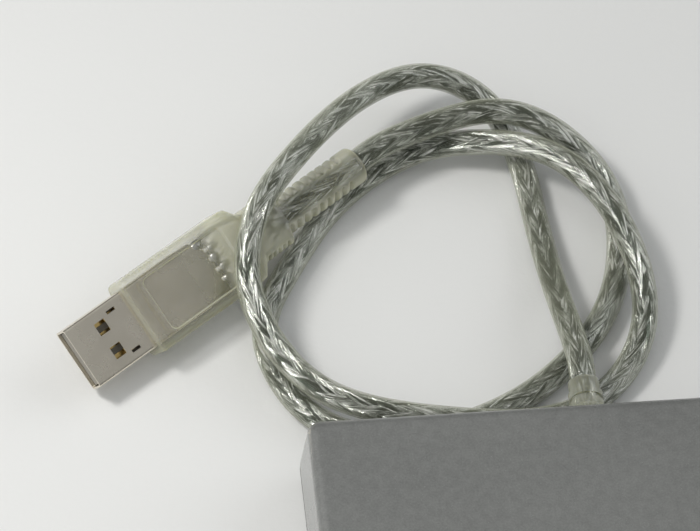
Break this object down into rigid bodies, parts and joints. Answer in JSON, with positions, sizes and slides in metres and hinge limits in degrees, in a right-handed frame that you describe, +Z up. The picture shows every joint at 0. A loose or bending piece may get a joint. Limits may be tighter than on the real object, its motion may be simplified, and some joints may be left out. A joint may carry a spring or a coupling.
{
  "type": "external floppy disk drive",
  "caption": "Flat external floppy disk drive with a front slot, eject button, loading mechanism, heads and spindle, and a clear-jacketed cable that ends in a plug.",
  "frame": {"origin": "middle of the drive's outline, without its cable, at the plane its feet stand on", "axes": "+X to the right seen from the slot, +Y from the slot toward the rear wall that the cable leaves, +Z up"},
  "size_m": [0.1436, 0.2216, 0.0196],
  "materials": {
    "case": "fine satin grain",
    "dark_plastic": "satin",
    "lens_green": "clear and glossy",
    "rubber": "matte",
    "steel": "turned",
    "zinc_sheet": "zinc plated sheet",
    "board_green": "solder resist",
    "chip_black": "moulded",
    "copper": "enamelled windings",
    "gold": "gold plated",
    "clear_pvc": "milky clear",
    "cord_silver": "clear jacket over a silver braid",
    "white_plastic": "moulded",
    "brass": "turned",
    "nickel": "satin nickel plate"
  },
  "bodies": {
    "case": {"top_cover": "case", "bottom_cover": "case", "front_bezel": "case", "activity_lens": "lens_green", "foot_front_left": "rubber", "foot_front_right": "rubber", "foot_rear_left": "rubber", "foot_rear_right": "rubber", "case_screw_left": "steel", "case_screw_right": "steel", "chassis": "zinc_sheet", "chassis_screw_front_left": "steel", "chassis_screw_front_right": "steel", "chassis_screw_rear": "steel", "eject_spring_left": "steel", "eject_spring_right": "steel", "stator": "copper", "spindle_bearing": "brass", "motor_board": "board_green", "guide_rod": "steel", "stepper_motor": "zinc_sheet", "logic_board": "board_green", "controller_chip": "chip_black", "driver_chip": "chip_black", "clock_crystal": "nickel", "cord_header": "white_plastic", "lamp_board": "board_green", "activity_lamp": "lens_green", "disk_switch": "chip_black", "cable_gland": "clear_pvc", "inner_lead": "white_plastic", "usb_cord": "cord_silver", "plug_overmold": "clear_pvc", "plug_shell": "nickel", "plug_tongue": "white_plastic", "plug_contact_1": "gold", "plug_contact_2": "gold", "plug_contact_3": "gold", "plug_contact_4": "gold"},
    "flap": {"dust_flap": "dark_plastic"},
    "slider": {"eject_slider": "zinc_sheet", "eject_button": "case"},
    "holder": {"disk_holder": "zinc_sheet"},
    "lever": {"shutter_lever": "steel"},
    "rotor": {"spindle_rotor": "steel"},
    "carriage": {"head_carriage": "white_plastic", "lower_head": "white_plastic", "arm_hinge_pin": "steel"},
    "arm": {"upper_head_arm": "white_plastic", "upper_head": "white_plastic"},
    "screw": {"lead_screw": "steel"}
  },
  "joints": [
    {"name": "eject_press", "type": "slide", "parent": "case", "child": "slider", "axis": [0, -1, 0], "range_m": [0, 0.0055]},
    {"name": "holder_drop", "type": "slide", "parent": "case", "child": "holder", "axis": [0, 0, -1], "range_m": [0, 0.0024]},
    {"name": "lever_swing", "type": "hinge", "parent": "holder", "child": "lever", "pos_m": [0.033, 0.012, 0.0158], "axis": [0, 0, -1], "range_deg": [0, 35]},
    {"name": "flap_swing", "type": "hinge", "parent": "case", "child": "flap", "pos_m": [0, -0.0653, 0.01525], "axis": [1, 0, 0], "range_deg": [0, 80], "stiffness_Nm_per_rad": 0.0001},
    {"name": "spindle_spin", "type": "hinge", "parent": "case", "child": "rotor", "pos_m": [0, -0.017, 0.007], "axis": [0, 0, 1], "continuous": true},
    {"name": "head_slide", "type": "slide", "parent": "case", "child": "carriage", "axis": [0, -1, 0], "range_m": [0, 0.015]},
    {"name": "screw_turn", "type": "hinge", "parent": "case", "child": "screw", "pos_m": [0.0145, 0.04, 0.0085], "axis": [0, 1, 0], "range_deg": [0, 1440]},
    {"name": "arm_lower", "type": "hinge", "parent": "carriage", "child": "arm", "pos_m": [0, 0.052, 0.0129], "axis": [1, 0, 0], "range_deg": [0, 7]}
  ],
  "couplings": [
    {"joint": "holder_drop", "follows": "eject_press", "ratio": 0.4363},
    {"joint": "lever_swing", "follows": "eject_press", "rad_per_m": 111},
    {"joint": "arm_lower", "follows": "eject_press", "rad_per_m": 22.2},
    {"joint": "screw_turn", "follows": "head_slide", "rad_per_m": 1675}
  ]
}
